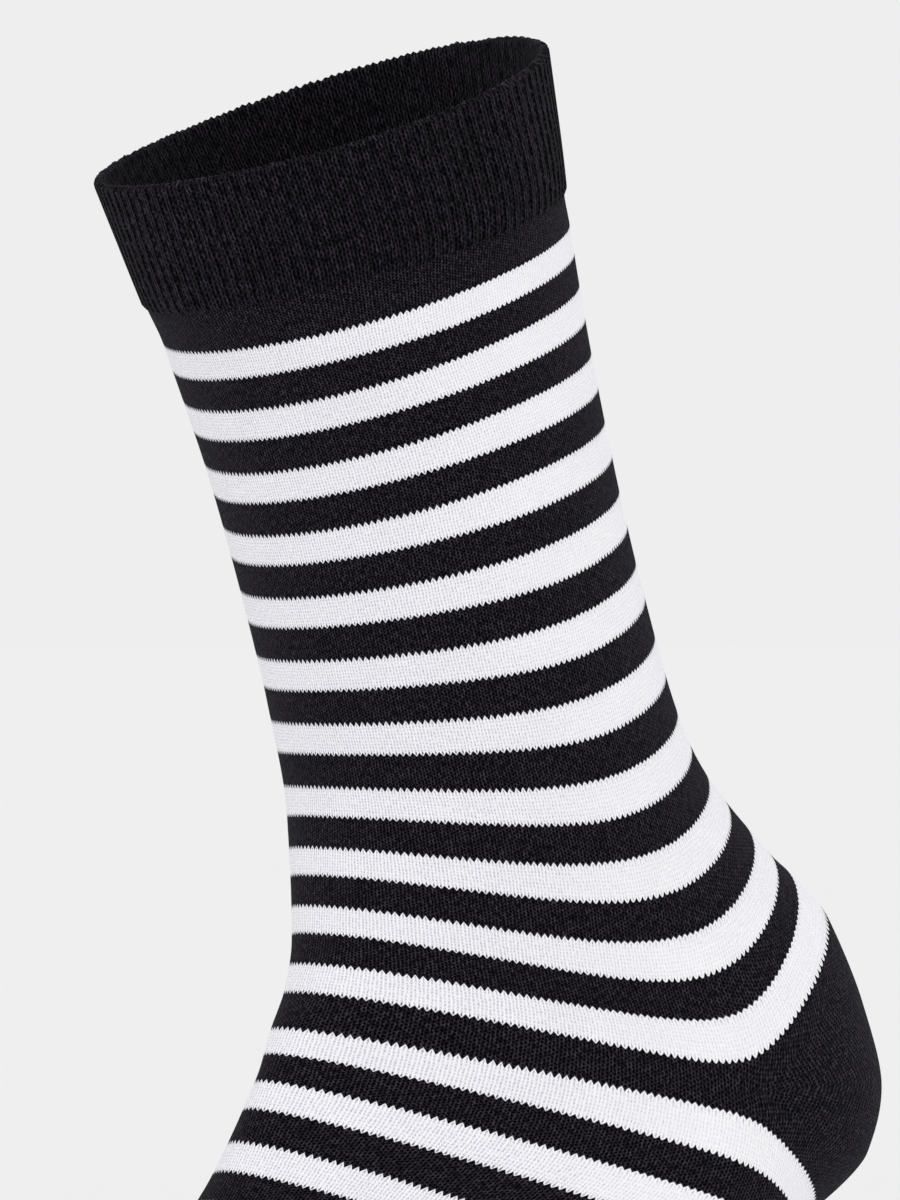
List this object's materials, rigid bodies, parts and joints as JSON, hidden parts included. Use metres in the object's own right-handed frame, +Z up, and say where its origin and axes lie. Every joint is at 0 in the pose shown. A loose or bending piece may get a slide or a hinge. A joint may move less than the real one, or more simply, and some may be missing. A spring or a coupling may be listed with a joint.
{
  "type": "sock",
  "caption": "Knitted crew sock with narrow even black and white stripes, a black ribbed cuff, heel and toe, open at the cuff and hollow as worn.",
  "frame": {"origin": "centre of the leg opening at the cuff's rim", "axes": "+Z is up; the mid-plane of the sock is the XZ plane, the toe points towards -X and down, the heel lies towards +X, and the leg leans forward of +Z"},
  "size_m": [0.2342, 0.09, 0.2925],
  "materials": {
    "cuff_yarn": "matte",
    "leg_yarn": "matte",
    "heel_yarn": "matte",
    "foot_yarn": "matte",
    "toe_yarn": "matte"
  },
  "bodies": {
    "root": {"cuff": "cuff_yarn", "leg": "leg_yarn", "heel": "heel_yarn", "foot": "foot_yarn", "toe": "toe_yarn"}
  },
  "joints": []
}
